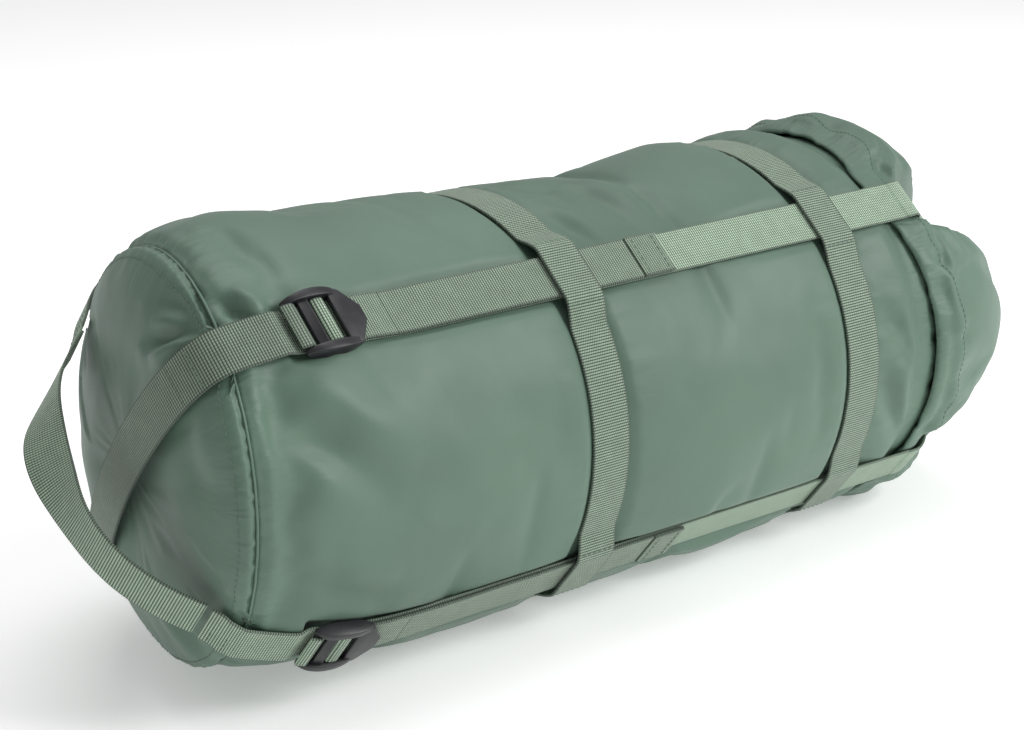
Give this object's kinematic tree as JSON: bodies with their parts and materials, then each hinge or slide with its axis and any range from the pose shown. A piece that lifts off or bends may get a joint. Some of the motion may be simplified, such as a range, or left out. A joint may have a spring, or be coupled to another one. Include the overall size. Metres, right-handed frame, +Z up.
{
  "type": "compression sack",
  "caption": "Cylindrical fabric compression sack lying on its side, with a sliding lid cap, webbing straps in ladder-lock buckles, keeper bands and a carry handle.",
  "frame": {"origin": "on the floor, under the middle of the sack as it lies on its side", "axes": "+X along the sack from the base with the handle to the lid, +Z up, -Y the side with the front straps"},
  "size_m": [0.6557, 0.2308, 0.2295],
  "materials": {
    "nylon": "satin",
    "webbing": "matte",
    "buckle": "satin",
    "eyelet": "satin"
  },
  "bodies": {
    "root": {"body_panel": "nylon", "base_panel": "nylon", "base_seam_binding": "nylon", "mouth_collar": "nylon", "drawcord_channel": "nylon", "drawcord_eyelet_1": "eyelet", "drawcord_eyelet_2": "eyelet", "keeper_band_1": "webbing", "keeper_band_2": "webbing", "base_strap": "webbing", "handle_end_front": "webbing", "handle_end_rear": "webbing", "strap_front_upper": "webbing", "strap_front_lower": "webbing", "strap_rear_lower": "webbing", "strap_rear_upper": "webbing", "tail_front_upper": "webbing", "tail_front_lower": "webbing", "tail_rear_lower": "webbing", "tail_rear_upper": "webbing"},
    "lid": {"lid_crown": "nylon", "lid_hem_facing": "nylon", "lid_web_1": "webbing", "lid_web_2": "webbing"},
    "handle": {"carry_handle": "webbing"},
    "buckle_front_upper": {"buckle_front_upper": "buckle", "strap_roll_front_upper": "webbing"},
    "tail_hem_front_upper": {"tail_hem_front_upper": "webbing"},
    "buckle_front_lower": {"buckle_front_lower": "buckle", "strap_roll_front_lower": "webbing"},
    "tail_hem_front_lower": {"tail_hem_front_lower": "webbing"},
    "buckle_rear_lower": {"buckle_rear_lower": "buckle", "strap_roll_rear_lower": "webbing"},
    "tail_hem_rear_lower": {"tail_hem_rear_lower": "webbing"},
    "buckle_rear_upper": {"buckle_rear_upper": "buckle", "strap_roll_rear_upper": "webbing"},
    "tail_hem_rear_upper": {"tail_hem_rear_upper": "webbing"}
  },
  "joints": [
    {"name": "lid_slide", "type": "slide", "parent": "root", "child": "lid", "axis": [1, 0, 0], "range_m": [0, 0.16], "deforming": ["strap_front_upper", "strap_front_lower", "strap_rear_lower", "strap_rear_upper", "tail_front_upper", "tail_front_lower", "tail_rear_lower", "tail_rear_upper"]},
    {"name": "tail_slide_front_upper", "type": "slide", "parent": "root", "child": "tail_hem_front_upper", "axis": [-1, 0, 0], "range_m": [0, 0.16]},
    {"name": "tail_slide_front_lower", "type": "slide", "parent": "root", "child": "tail_hem_front_lower", "axis": [-1, 0, 0], "range_m": [0, 0.16]},
    {"name": "tail_slide_rear_lower", "type": "slide", "parent": "root", "child": "tail_hem_rear_lower", "axis": [-1, 0, 0], "range_m": [0, 0.16]},
    {"name": "tail_slide_rear_upper", "type": "slide", "parent": "root", "child": "tail_hem_rear_upper", "axis": [-1, 0, 0], "range_m": [0, 0.16]},
    {"name": "buckle_tilt_front_upper", "type": "hinge", "parent": "root", "child": "buckle_front_upper", "pos_m": [-0.23826, -0.08226, 0.20086], "axis": [0, -0.7431, -0.6691], "range_deg": [0, 30], "stiffness_Nm_per_rad": 0.03},
    {"name": "buckle_tilt_front_lower", "type": "hinge", "parent": "root", "child": "buckle_front_lower", "pos_m": [-0.23973, -0.08712, 0.03769], "axis": [0, 0.6361, -0.7716], "range_deg": [0, 30], "stiffness_Nm_per_rad": 0.03},
    {"name": "buckle_tilt_rear_lower", "type": "hinge", "parent": "root", "child": "buckle_rear_lower", "pos_m": [-0.2178, 0.07499, 0.02621], "axis": [0, 0.7431, 0.6691], "range_deg": [0, 30], "stiffness_Nm_per_rad": 0.03},
    {"name": "buckle_tilt_rear_upper", "type": "hinge", "parent": "root", "child": "buckle_rear_upper", "pos_m": [-0.21382, 0.09424, 0.18719], "axis": [0, -0.6361, 0.7716], "range_deg": [0, 30], "stiffness_Nm_per_rad": 0.03},
    {"name": "handle_swing", "type": "hinge", "parent": "root", "child": "handle", "pos_m": [-0.28372, 0.00012, 0.1096], "axis": [-0.1198, -0.7661, -0.6315], "range_deg": [-15, 25], "stiffness_Nm_per_rad": 0.1}
  ],
  "couplings": [
    {"joint": "tail_slide_front_upper", "follows": "lid_slide", "ratio": 1},
    {"joint": "tail_slide_front_lower", "follows": "lid_slide", "ratio": 1},
    {"joint": "tail_slide_rear_lower", "follows": "lid_slide", "ratio": 1},
    {"joint": "tail_slide_rear_upper", "follows": "lid_slide", "ratio": 1}
  ]
}
